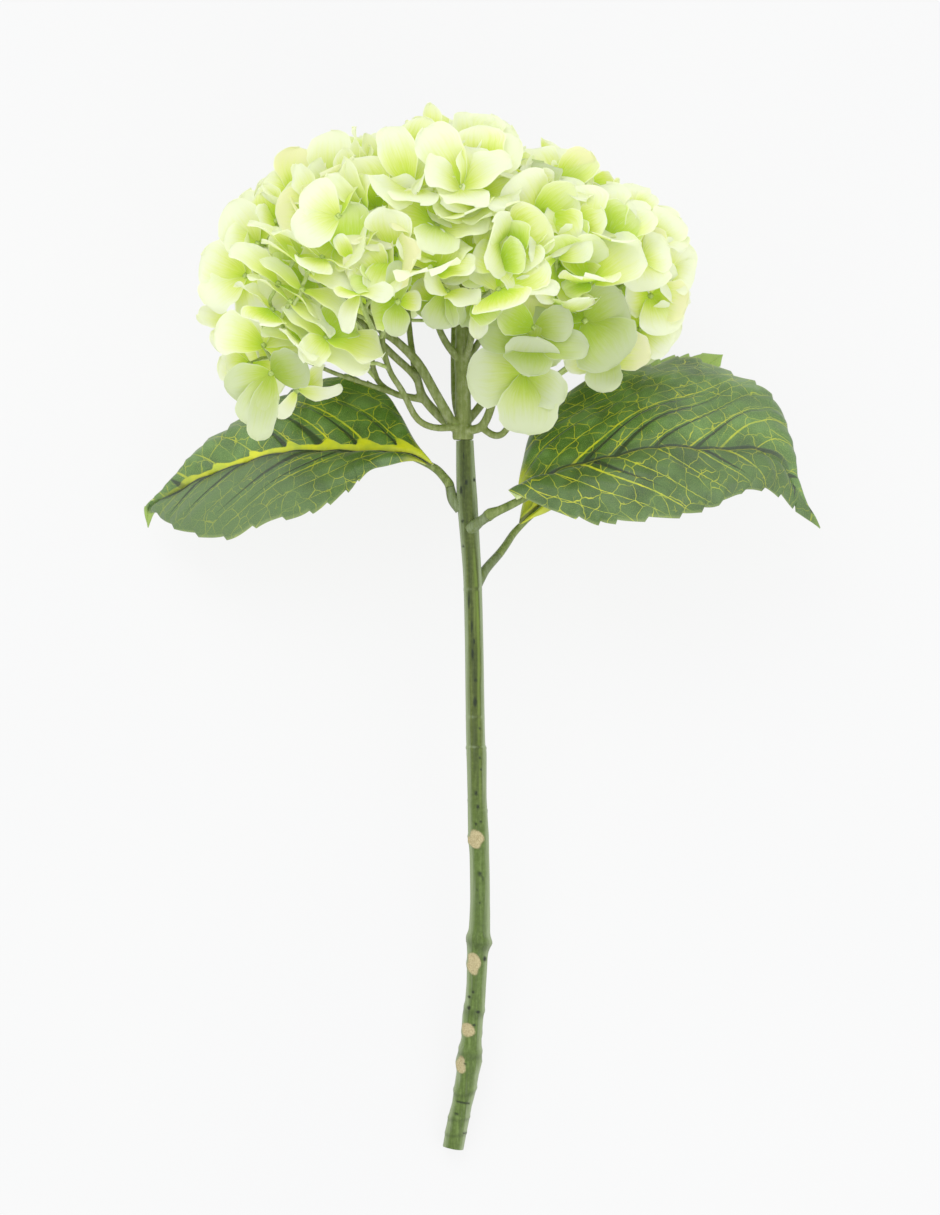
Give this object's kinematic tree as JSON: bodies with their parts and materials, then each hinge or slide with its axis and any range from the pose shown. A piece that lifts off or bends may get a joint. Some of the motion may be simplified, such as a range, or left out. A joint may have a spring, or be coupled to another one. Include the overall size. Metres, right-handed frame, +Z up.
{
  "type": "cut hydrangea stem",
  "caption": "Cut hydrangea stem with a domed head of pale green florets, a branching flower stalk and toothed leaves, lying on its side.",
  "frame": {"origin": "middle of the plant's bounding box, on the table that it lies on", "axes": "+Y along the plant from the cut end of the stem towards the flower head; +Z up from the table, the side that the picture shows; +X to the right as seen from above with the head at the top"},
  "size_m": [0.3064, 0.4696, 0.2025],
  "materials": {
    "stem": "mid green moulded plastic with dark specks and tan scars, satin",
    "flower_stalk": "olive sage moulded plastic, matt",
    "petals": "pale lime cloth with off-white margins and yellow-green centres",
    "leaves": "deep green printed cloth with yellow veins and a soft grey sheen",
    "leaf_stalks": "olive green moulded plastic, satin"
  },
  "bodies": {
    "root": {"stem": "stem", "flower_stalk": "flower_stalk", "head": "petals", "leaf_left": "leaves", "leaf_right": "leaves", "leaf_back": "leaves", "leaf_stalk_left": "leaf_stalks", "leaf_stalk_right": "leaf_stalks", "leaf_stalk_back": "leaf_stalks"}
  },
  "joints": []
}
